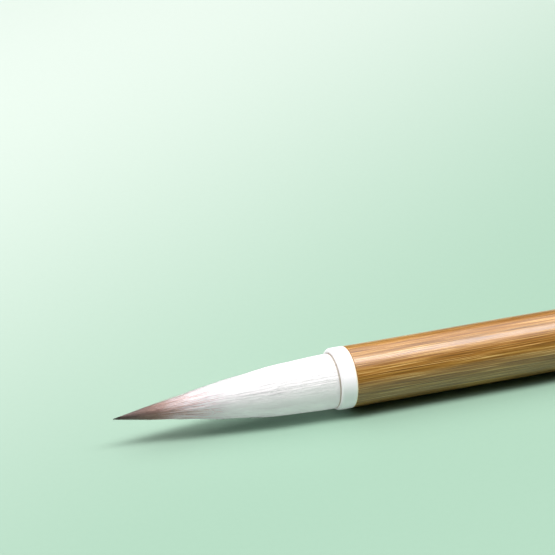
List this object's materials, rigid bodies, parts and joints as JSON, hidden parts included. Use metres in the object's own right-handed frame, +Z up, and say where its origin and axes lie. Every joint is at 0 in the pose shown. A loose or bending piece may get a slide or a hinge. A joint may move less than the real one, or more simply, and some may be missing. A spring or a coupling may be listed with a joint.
{
  "type": "calligraphy brush",
  "caption": "Round writing brush: tapered tuft that bends and springs back, white ferrule ring, hollow bamboo shaft, turned wooden collar, domed knob and hanging cord loop.",
  "frame": {"origin": "on the surface the brush lies on, below the middle of its length and of its width, the cord loop left out", "axes": "+X along the shaft, from the tuft to the hanging loop; +Z up"},
  "size_m": [0.2601, 0.0124, 0.0125],
  "materials": {
    "bamboo": "satin lacquered bamboo with fine fibres",
    "white_plastic": "glossy",
    "white_hair": "fine straight hair, silky",
    "brown_hair": "fine straight hair, silky",
    "thread": "twisted hemp",
    "resin": "hard and smooth",
    "pale_wood": "turned, matte",
    "brown_cord": "twisted cord, silky",
    "gold_foil": "embossed foil, bright"
  },
  "bodies": {
    "handle": {"bamboo_shaft": "bamboo", "ferrule": "white_plastic", "root_bundle": "white_hair", "root_thread": "thread", "root_resin": "resin", "tail_collar": "pale_wood", "tail_knob": "white_plastic", "cord_knot": "brown_cord", "foil_label": "gold_foil"},
    "tuft": {"cover_hair": "white_hair", "belly_hair": "white_hair", "tip_hair": "brown_hair"},
    "loop": {"hanging_loop": "brown_cord"}
  },
  "joints": [
    {"name": "tuft_bend", "type": "hinge", "parent": "handle", "child": "tuft", "pos_m": [-0.09055, 0, 0.00625], "axis": [0, 0, 1], "range_deg": [-40, 40], "stiffness_Nm_per_rad": 0.03},
    {"name": "loop_swing", "type": "hinge", "parent": "handle", "child": "loop", "pos_m": [0.12315, 0, 0.00625], "axis": [0, 0, 1], "range_deg": [-75, 75], "stiffness_Nm_per_rad": 0.0005}
  ]
}
